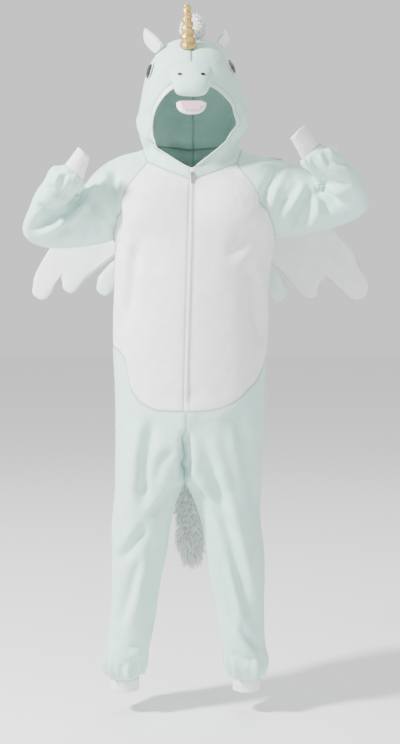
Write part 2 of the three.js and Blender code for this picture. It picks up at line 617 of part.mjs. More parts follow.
// A thin oval patch laid on a face: rings of points dropped along a direction, moved out.
function patch(face, { centre, towards, across, up, halfAcross, halfUp, lift, thick, sides = 14 }) {
  const layer = (scale, height) => oval(centre, across, up, halfAcross * scale, halfUp * scale, sides)
    .map((point) => landing(face, point, towards, height));
  return loft([
    layer(0.2, lift), layer(0.6, lift), layer(1, lift),
    layer(1, lift + thick), layer(0.6, lift + thick), layer(0.2, lift + thick),
  ]);
}

// ---------------------------------------------------------------- muzzle, lip, mouth and nostrils

const MUZZLE_X = -3;
const MUZZLE_SIDES = 16;
const MUZZLE = [
  { y: -136, z: 200, tilt: 0, half: 50, thick: 27 },
  { y: -151, z: 196, tilt: 18, half: 54, thick: 29 },
  { y: -168, z: 184, tilt: 36, half: 52, thick: 28 },
  { y: -183, z: 166, tilt: 52, half: 46, thick: 25 },
  { y: -191, z: 149, tilt: 64, half: 41, thick: 20 },
  { y: -195, z: 138, tilt: 70, half: 34, thick: 11 },
];

function muzzleRing({ y, z, tilt, half, thick }) {
  const angle = THREE.MathUtils.degToRad(tilt);
  const up = at(0, -Math.sin(angle), Math.cos(angle));
  return oval(at(MUZZLE_X, y, z), X, up, half, thick, MUZZLE_SIDES);
}

function muzzle() {
  const root = muzzleRing(MUZZLE[0]).map((point) => {
    const onHood = landing(hoodFace, point, INTO, 1.2);
    return point.clone().setY(Math.min(onHood.y, MUZZLE[0].y + 6));
  });
  return loft([root, ...MUZZLE.slice(1).map(muzzleRing)]);
}

// The lip is a pad with a round lower edge, narrower below, and the mouth lies on its front.
const LIP = [
  { y: -178, z: 126, half: 37, thick: 7 },
  { y: -181, z: 117, half: 37, thick: 9 },
  { y: -184, z: 107, half: 34, thick: 9 },
  { y: -185, z: 99, half: 26, thick: 8 },
  { y: -185, z: 94, half: 13, thick: 4 },
];
const lip = () => loft(LIP.map(({ y, z, half, thick }) => oval(at(MUZZLE_X, y, z), X, INTO, half, thick, 16)));

const MOUTH = { top: 125, low: 104, halfTop: 26, halfLow: 19, front: -194.5, thick: 1.2 };
function mouth() {
  const shape = new THREE.Shape();
  shape.moveTo(-MOUTH.halfTop, MOUTH.top);
  shape.lineTo(-MOUTH.halfLow, MOUTH.low);
  shape.lineTo(MOUTH.halfLow, MOUTH.low);
  shape.lineTo(MOUTH.halfTop, MOUTH.top);
  shape.closePath();
  const geometry = new THREE.ExtrudeGeometry(shape, { depth: MOUTH.thick, bevelEnabled: false });
  return geometry.rotateX(Math.PI / 2).translate(MUZZLE_X, MOUTH.front, 0);
}

// ---------------------------------------------------------------- eyes

const EYES = {
  right: { x: -48, z: 200, half: 13, tall: 19, lean: 0.16, turn: -0.7 },
  left: { x: 38, z: 212, half: 13, tall: 19, lean: -0.24, turn: 0.7 },
};

function eyeFrame({ x, z, lean, turn }) {
  const towards = at(-Math.sin(turn), Math.cos(turn), -0.1).normalize();
  const level = at(Math.cos(turn), Math.sin(turn), 0);
  const across = level.clone().applyAxisAngle(towards, lean);
  const up = across.clone().cross(towards).normalize();
  return { towards, across, up, centre: landing(hoodFace, at(x, 0, z), towards, 0) };
}

function eye(side, { scale, lift, thick }) {
  const { half, tall, ...rest } = EYES[side.name];
  const frame = eyeFrame(rest);
  return patch(hoodFace, { ...frame, halfAcross: half * scale, halfUp: tall * scale, lift, thick });
}

// ---------------------------------------------------------------- horn

const HORN = { foot: at(-11, -96, 262), tip: at(-14, -116, 364), base: 21, end: 9, turns: 5, groove: 0.13 };
const HORN_SIDES = 12;
const HORN_RINGS = 20;
const HORN_FOOT_RINGS = [0.1, 0.4, 0.7, 1];
const HORN_LIFT = 1.2;

function horn() {
  const axis = HORN.tip.clone().sub(HORN.foot);
  const up = axis.clone().normalize();
  const forward = X.clone().cross(up).normalize();
  const ringAt = (share, radius) => Array.from({ length: HORN_SIDES }, (_, i) => {
    const angle = 2 * Math.PI * i / HORN_SIDES;
    const twist = Math.cos(angle - 2 * Math.PI * HORN.turns * share);
    const reach = radius * (1 - HORN.groove * (0.5 + 0.5 * twist));
    return HORN.foot.clone().addScaledVector(axis, share)
      .addScaledVector(X, reach * Math.cos(angle))
      .addScaledVector(forward, reach * Math.sin(angle));
  });
  const landed = (scale) => ringAt(0, HORN.base * scale)
    .map((point) => landing(hoodFace, point, up.clone().negate(), HORN_LIFT));
  const rings = HORN_FOOT_RINGS.map(landed);
  const rise = rings[rings.length - 1].map((point, i) => point.clone().sub(ringAt(0, HORN.base)[i]).dot(up));
  for (let j = 1; j <= HORN_RINGS; j += 1) {
    const share = j / HORN_RINGS;
    const ring = ringAt(share, THREE.MathUtils.lerp(HORN.base, HORN.end, share) * (j === HORN_RINGS ? 0.75 : 1));
    rings.push(ring.map((point, i) => point.addScaledVector(up, rise[i] * Math.max(0, 1 - share / 0.5))));
  }
  return loft(rings);
}

const NOSTRIL = { apart: 55, z: 188, half: 6, tall: 3.4, lift: 0.5, thick: 1.2 };

// ---------------------------------------------------------------- ears

const EARS = {
  right: { root: at(-84, -52, 262), tip: at(-118, -56, 313), half: 25, turn: -0.55 },
  left: { root: at(66, -52, 266), tip: at(84, -56, 309), half: 22, turn: 0.6 },
};
const EAR_LINING_RISE = 3;
const EAR_ROOT_LIFT = { right: 0, left: 2.5 };
const EAR_ROWS = [
  { along: 0, wide: 0.7 }, { along: 0.2, wide: 1 }, { along: 0.45, wide: 0.95 },
  { along: 0.7, wide: 0.66 }, { along: 0.9, wide: 0.3 }, { along: 1, wide: 0.1 },
];

// One layer of an ear: a leaf, cupped forwards, of some thickness, in front of or behind the middle plane.
function earLayer(side, { inset, from, to, sides }) {
  const { root, tip, half, turn } = EARS[side.name];
  const up = tip.clone().sub(root);
  const across = at(Math.cos(turn), Math.sin(turn), 0);
  const facing = across.clone().cross(up).normalize();
  if (facing.y > 0) facing.negate();
  const rings = EAR_ROWS.map(({ along, wide }) => {
    const height = inset + along * (1 - 2 * inset);
    const centre = root.clone().addScaledVector(up, height);
    const reach = half * wide * (1 - inset * 2.4);
    return Array.from({ length: sides }, (_, i) => {
      const angle = 2 * Math.PI * i / sides;
      const offset = reach * Math.cos(angle);
      const depth = Math.sin(angle) > 0 ? to : from;
      const cup = 6 * (offset / half) ** 2;
      const point = centre.clone().addScaledVector(across, offset)
        .addScaledVector(facing, cup + THREE.MathUtils.lerp((from + to) / 2, depth, Math.abs(Math.sin(angle)) ** 0.5));
      return along === 0 ? landing(hoodFace, point, up.clone().negate(), 1.5 + EAR_LINING_RISE * (inset > 0) + EAR_ROOT_LIFT[side.name]) : point;
    });
  });
  return loft(rings);
}

// ---------------------------------------------------------------- mane and tail

const MANE_ROWS = [
  { along: 0, half: 14, tall: 22 }, { along: 0.08, half: 26, tall: 48 }, { along: 0.22, half: 26, tall: 48 },
  { along: 0.36, half: 21, tall: 34 }, { along: 0.6, half: 17, tall: 26 }, { along: 0.85, half: 14, tall: 20 },
  { along: 1, half: 8, tall: 8 },
];
const MANE_RINGS = 16;
const MANE_LIFT = 4.5;

function mane() {
  const crown = curveThrough([CROWN.edge, CROWN.brow, CROWN.side, CROWN.rear, CROWN_END]);
  const seam = curveThrough([NECK_BACK, ...HOOD_SEAM, CROWN_END]);
  const ridge = [...crown.getSpacedPoints(30).slice(16), ...seam.getSpacedPoints(30).reverse().slice(1, 29)];
  const line = curveThrough(ridge);
  return loft(Array.from({ length: MANE_RINGS + 1 }, (_, i) => {
    const share = i / MANE_RINGS;
    const out = line.getTangentAt(share).cross(X).negate().normalize();
    const tall = columnAt(MANE_ROWS, 'along', 'tall', share);
    const middle = line.getPointAt(share).addScaledVector(out, MANE_LIFT + tall / 2);
    return oval(middle, X, out, columnAt(MANE_ROWS, 'along', 'half', share), tall / 2, 10);
  }));
}

const TAIL = [
  { x: -17, y: 158, z: -640, radius: 9 }, { x: -17, y: 172, z: -672, radius: 20 },
  { x: -16, y: 186, z: -730, radius: 32 }, { x: -13, y: 190, z: -810, radius: 38 },
  { x: -9, y: 186, z: -890, radius: 40 }, { x: -6, y: 180, z: -960, radius: 39 },
  { x: -4, y: 176, z: -1010, radius: 32 }, { x: -4, y: 175, z: -1040, radius: 16 },
];
const tail = () => loft(TAIL.map(({ x, y, z, radius }) => oval(at(x, y, z), X, INTO, radius, radius * 0.8, 12)));

// ---------------------------------------------------------------- wings

// Each feather ends in a half round. notch is the point between it and the next one inwards.
const WINGS = {
  right: {
    top: [[-42, -22], [-90, 0], [-140, 12], [-200, 12], [-252, -8], [-300, -100], [-378, -224], [-417, -286]],
    feathers: [
      { x: -396, z: -328, radius: 28 }, { x: -319, z: -314, radius: 25 }, { x: -230, z: -320, radius: 25 },
    ],
    notches: [[-352, -284], [-266, -292]],
    root: [[-190, -256], [-118, -196], [-42, -150]],
  },
  left: {
    top: [[42, -22], [90, 2], [140, 18], [200, 24], [256, 12], [300, -80], [360, -174], [408, -210], [450, -286]],
    feathers: [
      { x: 428, z: -324, radius: 32 }, { x: 304, z: -325, radius: 26 }, { x: 222, z: -334, radius: 25 },
    ],
    notches: [[346, -288], [250, -300]],
    root: [[180, -262], [112, -200], [42, -150]],
  },
};
const WING_ROOT_HEIGHTS = [-96, -76, -56, -38];
const WING_THICK = 8;
const WING_SPLIT_ROOT = -118;   // height of the line on the back between the white and the mint feathers
const WING_GAP = 0.35;

// The rounded end of a feather, from its outer side to its inner side.
function featherEnd({ x, z, radius }, sign) {
  return [-20, 15, 50, 90, 130, 165].map((degrees) => {
    const angle = THREE.MathUtils.degToRad(degrees);
    return [x + sign * radius * Math.cos(angle), z - radius * Math.sin(angle)];
  });
}

// Bends a flat wing plate so that its root lies on the back and its tip sweeps backwards.
function wingDepth(x, z) {
  const root = landing(backFace, at(x, 0, z), at(0, -1, 0), 5 + WING_THICK / 2).y;
  const swept = 172 + 0.04 * Math.abs(x);
  const share = THREE.MathUtils.smoothstep(Math.abs(x), 42, 70);
  return Math.abs(x) < 100 ? THREE.MathUtils.lerp(root, Math.max(root, swept), share) : swept;
}

function wingPlate(outline) {
  const shape = new THREE.Shape(outline.map(([x, z]) => new THREE.Vector2(x, z)));
  const geometry = new THREE.ExtrudeGeometry(shape, { depth: WING_THICK, bevelEnabled: false });
  const position = geometry.getAttribute('position');
  for (let i = 0; i < position.count; i += 1) {
    const [x, z, depth] = [position.getX(i), position.getY(i), position.getZ(i)];
    position.setXYZ(i, x, wingDepth(x, z) + WING_THICK / 2 - depth, z);
  }
  geometry.computeVertexNormals();
  return geometry;
}

function wing(side) {
  const { top, feathers, notches } = WINGS[side.name];
  const rootEnd = [side.sign * 42, WING_SPLIT_ROOT + WING_GAP];
  const outline = [
    ...top, ...featherEnd(feathers[0], side.sign), notches[0], ...featherEnd(feathers[1], side.sign), notches[1], rootEnd,
    ...WING_ROOT_HEIGHTS.map((z) => [side.sign * 42, z]),
  ];
  return wingPlate(outline);
}

function wingFeather(side) {
  const { feathers, notches, root } = WINGS[side.name];
  const notch = [notches[1][0] - side.sign * WING_GAP, notches[1][1] - WING_GAP];
  const rootEnd = [side.sign * 42, WING_SPLIT_ROOT - WING_GAP];
  return wingPlate([rootEnd, notch, ...featherEnd(feathers[2], side.sign), ...root]);
}

// ---------------------------------------------------------------- zip slider and pull

const SLIDER = { wide: 8, tall: 12, deep: 3.2, lift: 0.4 };
const BRIDGE = { wide: 2.2, tall: 9, inside: 6, height: 4.2, hollow: 2.8 };
const PULL = { wide: 6.4, long: 25, thick: 1.4, window: 3.6, windowLong: 7.6, bar: 1.4 };
const SLIDER_HEIGHT = -43;

const wasm = await Module();
wasm.setup();

function solidOf(geometry) {
  const bare = new THREE.BufferGeometry().setAttribute('position', geometry.getAttribute('position'));
  const triVerts = geometry.index ? geometry.index.array : Array.from({ length: bare.attributes.position.count }, (_, i) => i);
  const mesh = new wasm.Mesh({
    numProp: 3,
    vertProperties: new Float32Array(bare.attributes.position.array),
    triVerts: new Uint32Array(triVerts),
  });
  mesh.merge();
  return new wasm.Manifold(mesh);
}

function geometryFrom(solid) {
  const { vertProperties, triVerts } = solid.getMesh();
  const geometry = new THREE.BufferGeometry();
  geometry.setAttribute('position', new THREE.Float32BufferAttribute(vertProperties, 3));
  geometry.setIndex([...triVerts]);
  return geometry.toNonIndexed();
}

const joined = (...geometries) => geometryFrom(geometries.map(solidOf).reduce((sum, next) => sum.add(next)));

const zipFace = outerFace(['zip']);
const sliderFoot = landing(zipFace, at(ZIP_TOP.x, 0, SLIDER_HEIGHT), INTO, SLIDER.lift);

function zipSlider() {
  const body = new THREE.BoxGeometry(SLIDER.wide, SLIDER.deep, SLIDER.tall);
  body.translate(sliderFoot.x, sliderFoot.y - SLIDER.deep / 2, sliderFoot.z);
  const arch = new THREE.Shape([
    new THREE.Vector2(0.5, -BRIDGE.tall / 2), new THREE.Vector2(-BRIDGE.height, -BRIDGE.tall / 2),
    new THREE.Vector2(-BRIDGE.height, BRIDGE.tall / 2), new THREE.Vector2(0.5, BRIDGE.tall / 2),
    new THREE.Vector2(0.5, BRIDGE.inside / 2), new THREE.Vector2(-BRIDGE.hollow, BRIDGE.inside / 2),
    new THREE.Vector2(-BRIDGE.hollow, -BRIDGE.inside / 2), new THREE.Vector2(0.5, -BRIDGE.inside / 2),
  ]);
  const bridge = new THREE.ExtrudeGeometry(arch, { depth: BRIDGE.wide, bevelEnabled: false });
  bridge.rotateY(Math.PI / 2).rotateX(Math.PI / 2);
  bridge.translate(sliderFoot.x - BRIDGE.wide / 2, sliderFoot.y - SLIDER.deep, sliderFoot.z);
  return joined(body, bridge);
}

// The pull hangs by the bar at its top, which passes under the slider's bridge.
const pullAxis = at(sliderFoot.x, sliderFoot.y - SLIDER.deep - 1.4, sliderFoot.z + 1.6);

function zipPull() {
  const shape = new THREE.Shape([
    new THREE.Vector2(-PULL.wide / 2, 0), new THREE.Vector2(-PULL.wide / 2, -PULL.long + 2),
    new THREE.Vector2(-PULL.wide / 2 + 2, -PULL.long), new THREE.Vector2(PULL.wide / 2 - 2, -PULL.long),
    new THREE.Vector2(PULL.wide / 2, -PULL.long + 2), new THREE.Vector2(PULL.wide / 2, 0),
  ]);
  shape.holes.push(new THREE.Path([
    new THREE.Vector2(-PULL.window / 2, -PULL.bar / 2), new THREE.Vector2(PULL.window / 2, -PULL.bar / 2),
    new THREE.Vector2(PULL.window / 2, -PULL.windowLong), new THREE.Vector2(-PULL.window / 2, -PULL.windowLong),
  ]));
  const geometry = new THREE.ExtrudeGeometry(shape, { depth: PULL.thick, bevelEnabled: false });
  geometry.translate(0, 0, -PULL.thick / 2).rotateX(Math.PI / 2);
  const bar = new THREE.CylinderGeometry(PULL.bar / 2, PULL.bar / 2, PULL.wide, 20).rotateZ(Math.PI / 2);
  return joined(geometry, bar).translate(pullAxis.x, pullAxis.y, pullAxis.z);
}

// ---------------------------------------------------------------- the garment

const onesie = new THREE.Group();

// Takes from one piece the slivers of cloth that its neighbours fill at a tight corner.
function clearOf(geometry, ...names) {
  const solid = names.reduce((rest, name) => rest.subtract(solidOf(onesie.getObjectByName(name).geometry)), solidOf(geometry));
  const whole = solid.decompose().sort((one, two) => two.volume() - one.volume())[0];
  return geometryFrom(whole);
}

function add(name, geometry, colour) {
  const isMetal = METAL_COLOURS.includes(colour);
  const material = new THREE.MeshStandardMaterial({
    color: COLOURS[colour], roughness: isMetal ? 0.35 : 0.9, metalness: isMetal ? 0.9 : 0,
  });
  const mesh = new THREE.Mesh(geometry, material);
  mesh.name = name;
  onesie.add(mesh);
}

const SHELL_PIECES = [
  { name: 'front', wall: PLUSH, colour: 'white' },
  { name: 'leg_front', wall: PLUSH, colour: 'mint' },
  { name: 'back', wall: PLUSH, colour: 'mint' },
  { name: 'sleeve', wall: PLUSH, colour: 'mint', trims: ['front', 'back'] },
  { name: 'hood', wall: PLUSH, colour: 'mint' },
  { name: 'hood_binding', wall: PLUSH, colour: 'binding', trims: ['hood'] },
  { name: 'cuff_wrist', wall: RIB, colour: 'rib' },
  { name: 'cuff_ankle', wall: RIB, colour: 'rib' },
];

SIDES.forEach((side) => {
  SHELL_PIECES.forEach(({ name, wall, colour, trims = [] }) => {
    const cloth = wallOf(`${name}_${side.name}`, wall, shellNormals);
    add(`${name}_${side.name}`, trims.length ? clearOf(cloth, ...trims.map((trim) => `${trim}_${side.name}`)) : cloth, colour);
  });
  add(`eye_rim_${side.name}`, eye(side, { scale: 1.22, lift: 1.5, thick: 0.8 }), 'lining');
  add(`eye_${side.name}`, eye(side, { scale: 1, lift: 3.2, thick: 0.8 }), 'black');
  add(`ear_${side.name}`, clearOf(earLayer(side, { inset: 0, from: -5, to: -0.5, sides: 14 }), `hood_${side.name}`), 'mint');
  add(`ear_lining_${side.name}`, earLayer(side, { inset: 0.08, from: 0, to: 2.5, sides: 14 }), 'lining');
  add(`wing_${side.name}`, wing(side), 'white');
  add(`wing_feather_${side.name}`, wingFeather(side), 'paleMint');
});
add('zip', wallOf('zip', ZIP_CHAIN, shellNormals), 'metal');
add('muzzle', muzzle(), 'mint');
const muzzleFace = new THREE.Mesh(onesie.getObjectByName('muzzle').geometry, new THREE.MeshBasicMaterial({ side: THREE.DoubleSide }));
SIDES.forEach((side) => add(`nostril_${side.name}`, patch(muzzleFace, {
  centre: at(MUZZLE_X + side.sign * NOSTRIL.apart / 2, 0, NOSTRIL.z), towards: INTO, across: X, up: at(0, 0, 1),
  halfAcross: NOSTRIL.half, halfUp: NOSTRIL.tall, lift: NOSTRIL.lift, thick: NOSTRIL.thick,
}), 'black'));
add('muzzle_lip', lip(), 'lining');
add('mouth', mouth(), 'pink');
add('horn', horn(), 'gold');
add('mane', mane(), 'white');
add('tail', tail(), 'white');
add('zip_slider', zipSlider(), 'metal');
add('zip_pull', zipPull(), 'metal');

export default onesie;
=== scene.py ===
"""A hooded unicorn onesie in plush fleece, hollow and standing as worn."""

import math
import random

import bmesh
import bpy
import numpy as np
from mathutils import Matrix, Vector, noise
from mathutils.bvhtree import BVHTree
from mathutils.kdtree import KDTree


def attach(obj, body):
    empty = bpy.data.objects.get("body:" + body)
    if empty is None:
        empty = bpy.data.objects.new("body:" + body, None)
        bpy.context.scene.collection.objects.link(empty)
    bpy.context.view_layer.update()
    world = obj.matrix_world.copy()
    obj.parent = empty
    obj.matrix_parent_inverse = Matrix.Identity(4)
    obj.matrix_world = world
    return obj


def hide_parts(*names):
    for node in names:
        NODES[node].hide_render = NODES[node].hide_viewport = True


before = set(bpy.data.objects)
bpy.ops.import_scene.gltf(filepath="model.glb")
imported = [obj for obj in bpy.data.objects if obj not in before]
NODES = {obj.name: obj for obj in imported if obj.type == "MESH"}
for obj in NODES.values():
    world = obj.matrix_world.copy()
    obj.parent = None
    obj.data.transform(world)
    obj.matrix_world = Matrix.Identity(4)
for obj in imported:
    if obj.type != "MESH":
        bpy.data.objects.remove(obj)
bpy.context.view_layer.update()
random.seed(7)
RNG = np.random.default_rng(7)

MM = 0.001
SIDES = ("right", "left")
PLUSH = 2.5 * MM
RIB = 3.0 * MM
ZIP_TAPE = 2.0 * MM

# ------------------------------------------------------------ mesh helpers


def make(name, points, faces, material, smooth=True, body="root"):
    mesh = bpy.data.meshes.new(name)
    mesh.from_pydata([tuple(p) for p in points], [], [tuple(f) for f in faces])
    mesh.validate()
    mesh.polygons.foreach_set("use_smooth", [smooth] * len(mesh.polygons))
    mesh.materials.append(material)
    obj = bpy.data.objects.new(name, mesh)
    bpy.context.scene.collection.objects.link(obj)
    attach(obj, body)
    return obj


def subdivided(mesh, levels):
    """The mesh after Catmull-Clark steps, as a new mesh."""
    obj = bpy.data.objects.new("work", mesh)
    bpy.context.scene.collection.objects.link(obj)
    step = obj.modifiers.new("step", "SUBSURF")
    step.levels = step.render_levels = levels
    done = bpy.data.meshes.new_from_object(
        obj.evaluated_get(bpy.context.evaluated_depsgraph_get())
    )
    bpy.data.objects.remove(obj)
    return done


def arrays(mesh):
    """Points, vertex normals, quads and material indices."""
    points = np.zeros(len(mesh.vertices) * 3)
    mesh.vertices.foreach_get("co", points)
    normals = np.zeros(len(mesh.vertices) * 3)
    mesh.vertex_normals.foreach_get("vector", normals)
    corners = np.zeros(len(mesh.loops), int)
    mesh.loops.foreach_get("vertex_index", corners)
    pieces = np.zeros(len(mesh.polygons), int)
    mesh.polygons.foreach_get("material_index", pieces)
    return points.reshape(-1, 3), normals.reshape(-1, 3), corners.reshape(-1, 4), pieces


def point_normals(points, quads):
    a, b, c, d = (points[quads[:, i]] for i in range(4))
    flat = np.cross(c - a, d - b)
    total = np.zeros_like(points)
    for i in range(4):
        np.add.at(total, quads[:, i], flat)
    return total / np.maximum(np.linalg.norm(total, axis=1, keepdims=True), 1e-12)


def smooth_step(low, high, value):
    share = np.clip((value - low) / (high - low), 0, 1)
    return share * share * (3 - 2 * share)


# ------------------------------------------------------------ the cloth shell

SHELL = [f"{kind}_{side}" for kind in (
    "front", "leg_front", "back", "sleeve", "hood", "hood_binding", "cuff_wrist", "cuff_ankle",
) for side in SIDES] + ["zip"]
RIM_ANGLE = math.radians(62)    # faces that meet more sharply than this are a wall and its rim
RIM_WIDTH = 2.2 * MM
WALL = (1.9 * MM, 3.4 * MM)     # an edge this long crosses the wall at a rim
WELD = 1.3 * MM                 # wider than the gap at a seam
SHELL_LEVELS = 3


def shell_rays():
    points, faces = [], []
    for name in SHELL:
        mesh = NODES[name].data
        start = len(points)
        points += [v.co.copy() for v in mesh.vertices]
        faces += [[start + i for i in p.vertices] for p in mesh.polygons]
    return BVHTree.FromPolygons(points, faces)


def hits_along(tree, start, way):
    count, place = 0, start
    while count < 40:
        hit, _, _, _ = tree.ray_cast(place, way)
        if hit is None:
            break
        count += 1
        place = hit + way * 2e-5
    return count


def runs_of(faces, angle):
    """The faces in runs that bend less than the angle from one face to the next."""
    left, runs = set(faces), []
    for seed in faces:
        if seed not in left:
            continue
        left.remove(seed)
        run, todo = [seed], [seed]
        while todo:
            face = todo.pop()
            for edge in face.edges:
                for other in edge.link_faces:
                    if other in left and face.normal.angle(other.normal, 0) < angle:
                        left.remove(other)
                        run.append(other)
                        todo.append(other)
        runs.append(run)
    return runs


def looks_out(face, tree):
    """True if the cloth walls that a line out of this face crosses are even in number."""
    return (hits_along(tree, face.calc_center_median() + face.normal * 1e-4, face.normal) // 2) % 2 == 0


def outward(faces, angle, tree):
    found = []
    for run in runs_of(faces, angle):
        inside = set(run)
        area = sum(face.calc_area() for face in run)
        rim = sum(e.calc_length() for f in run for e in f.edges if any(g not in inside for g in e.link_faces))
        if rim and area / rim < RIM_WIDTH:
            continue
        even = sum(looks_out(face, tree) for face in run) / len(run)
        if 0.3 < even < 0.7 and len(run) > 60 and angle > RIM_ANGLE / 4:
            found += outward(run, angle * 0.8, tree)
        elif even > 0.5:
            found += run
    return found


def outer_runs(name, tree):
    """The faces of a CAD wall that look out of the garment, as lists of points."""
    bm = bmesh.new()
    bm.from_mesh(NODES[name].data)
    bmesh.ops.remove_doubles(bm, verts=bm.verts, dist=2e-5)
    bm.faces.ensure_lookup_table()
    walls = [f for f in bm.faces if not any(WALL[0] < e.calc_length() < WALL[1] for e in f.edges)]
    outer = [[v.co.copy() for v in face.verts] for face in outward(walls, RIM_ANGLE, tree)]
    bm.free()
    return outer


def shell_mesh():
    tree = shell_rays()
    bm = bmesh.new()
    for number, name in enumerate(SHELL):
        for corners in outer_runs(name, tree):
            face = bm.faces.new([bm.verts.new(c) for c in corners])
            face.material_index = number
    bmesh.ops.remove_doubles(bm, verts=bm.verts, dist=WELD)
    bmesh.ops.dissolve_degenerate(bm, edges=bm.edges, dist=WELD / 2)
    open_edges = [e for e in bm.edges if e.is_boundary]
    for face in bmesh.ops.holes_fill(bm, edges=open_edges, sides=9)["faces"]:
        near = [g for e in face.edges for g in e.link_faces if g is not face]
        if near:
            face.material_index = near[0].material_index
    bmesh.ops.triangulate(bm, faces=[f for f in bm.faces if len(f.verts) > 4])
    bmesh.ops.join_triangles(
        bm, faces=[f for f in bm.faces if len(f.verts) == 3], cmp_materials=True,
        angle_face_threshold=math.radians(70), angle_shape_threshold=math.radians(70),
    )
    bmesh.ops.recalc_face_normals(bm, faces=bm.faces)
    mesh = bpy.data.meshes.new("shell")
    bm.to_mesh(mesh)
    bm.free()
    for _ in SHELL:
        mesh.materials.append(None)
    return subdivided(mesh, SHELL_LEVELS)


# Folds, in mm: the line's points (x, z), the depth of its trough, its width, and the face it is
# on: -1 front, +1 back, 0 both. The cloth stands up in a softer ridge on the side that lean gives.
FOLDS = [
    # chest and belly
    ([(-134, -189), (-148, -299), (-165, -420)], 5.5, 13, -1, 1),
    ([(139, -250), (153, -347), (168, -469)], 5.5, 13, -1, -1),
    ([(-190, -12), (-192, -92), (-180, -200)], 9, 11, -1, 1),
    ([(217, -10), (184, -68), (163, -140)], 9, 11, -1, -1),
    ([(-165, -215), (-120, -262), (-60, -285)], 3.5, 15, -1, 1),
    ([(158, -150), (118, -215), (70, -250)], 3.5, 15, -1, -1),
    ([(-70, -560), (-20, -585), (40, -570)], 2.5, 18, -1, 1),
    # leg fronts
    ([(-98, -625), (-116, -736), (-124, -868)], 9, 13, -1, 1),
    ([(-112, -896), (-153, -960), (-194, -1010)], 6, 12, -1, 1),
    ([(-126, -975), (-160, -1080), (-190, -1176)], 6, 12, -1, -1),
    ([(-92, -930), (-104, -1010), (-128, -1090)], 4, 13, -1, 1),
    ([(17, -660), (78, -882), (126, -1077), (168, -1200)], 8, 14, -1, -1),
    ([(112, -635), (139, -761), (158, -890)], 6, 13, -1, 1),
    ([(112, -1148), (143, -1193), (176, -1232)], 5, 10, -1, 1),
    ([(60, -980), (86, -1080), (104, -1180)], 4, 12, -1, -1),
    ([(-15, -655), (-18, -730), (-19, -800)], 9, 12, -1, 0),
    ([(-19, -797), (-64, -836), (-108, -890)], 6, 11, -1, 1),
    ([(-12, -797), (41, -848), (95, -935)], 6, 11, -1, -1),
    ([(-40, -700), (-78, -745), (-100, -815)], 4, 13, -1, 1),
    ([(10, -735), (52, -800), (84, -870)], 4, 13, -1, 1),
    ([(-205, -1185), (-160, -1215), (-120, -1205)], 4.5, 11, -1, 1),
    ([(92, -1225), (128, -1245), (166, -1238)], 4.5, 11, -1, 1),
    # right sleeve
    ([(-252, -76), (-301, -131), (-405, -184)], 9, 10, 0, -1),
    ([(-301, -131), (-306, -172), (-350, -203)], 6, 9, -1, 1),
    ([(-250, -92), (-236, -145), (-224, -205)], 7, 11, -1, -1),
    ([(-245, -88), (-212, -141), (-190, -192)], 5, 12, -1, 1),
    ([(-262, -110), (-268, -160), (-272, -205)], 4, 11, -1, 1),
    ([(-350, -66), (-318, -88), (-284, -100)], 4.5, 9, -1, 1),
    ([(-330, -28), (-302, -44), (-272, -50)], 3.5, 9, 0, 1),
    ([(-378, -112), (-346, -132), (-318, -138)], 4.5, 9, 0, -1),
    ([(-150, 2), (-190, -8), (-232, -40)], 4, 13, 0, 1),
    # left sleeve
    ([(294, -63), (264, -120), (226, -184)], 9, 11, -1, 1),
    ([(298, -70), (284, -125), (264, -182)], 6, 11, -1, -1),
    ([(300, -66), (314, -102), (335, -143)], 8, 10, 0, 1),
    ([(302, -62), (332, -92), (360, -123)], 7, 9, 0, -1),
    ([(304, -58), (342, -64), (384, -70)], 6, 9, 0, 1),
    ([(328, -6), (352, -16), (384, -20)], 4, 9, 0, 1),
    ([(300, 22), (326, 28), (352, 18)], 3.5, 9, 0, 1),
    ([(262, -56), (238, -92), (214, -120)], 5, 12, -1, -1),
    ([(150, 6), (195, 2), (240, -28)], 4, 13, 0, 1),
    # hood and neck
    ([(-97, 58), (-104, 20), (-66, -14)], 4, 9, -1, 1),
    ([(97, 52), (100, 12), (60, -18)], 4, 9, -1, -1),
    ([(-118, 120), (-112, 70), (-92, 30)], 4, 12, 0, 1),
    ([(112, 130), (108, 78), (90, 30)], 4, 12, 0, -1),
    ([(-70, 60), (-20, 44), (40, 56)], 4.5, 13, 1, 1),
    ([(-84, 100), (-30, 86), (20, 96)], 3.5, 13, 1, -1),
    # back
    ([(-196, -14), (-192, -100), (-180, -205)], 8, 12, 1, 1),
    ([(206, -10), (190, -90), (176, -190)], 8, 12, 1, -1),
    ([(-62, -240), (-78, -380), (-66, -540)], 6, 16, 1, 1),
    ([(54, -290), (66, -430), (52, -560)], 6, 16, 1, -1),
    ([(-140, -300), (-150, -430), (-138, -560)], 5, 14, 1, -1),
    ([(128, -260), (140, -400), (146, -540)], 5, 14, 1, 1),
    ([(-168, -585), (-90, -628), (-20, -600)], 6, 15, 1, 1),
    ([(30, -615), (98, -640), (168, -590)], 6, 15, 1, 1),
    ([(-24, -812), (-80, -850), (-140, -868)], 6, 13, 1, 1),
    ([(-8, -815), (52, -862), (118, -885)], 6, 13, 1, 1),
    ([(-196, -948), (-150, -972), (-104, -962)], 6, 12, 1, 1),
    ([(-200, -1004), (-158, -1022), (-116, -1008)], 5, 11, 1, -1),
    ([(72, -962), (112, -985), (160, -970)], 6, 12, 1, 1),
    ([(86, -1020), (124, -1038), (166, -1016)], 5, 11, 1, -1),
    ([(-200, -1180), (-160, -1206), (-124, -1196)], 4.5, 11, 1, 1),
    ([(98, -1200), (130, -1228), (168, -1216)], 4.5, 11, 1, 1),
]
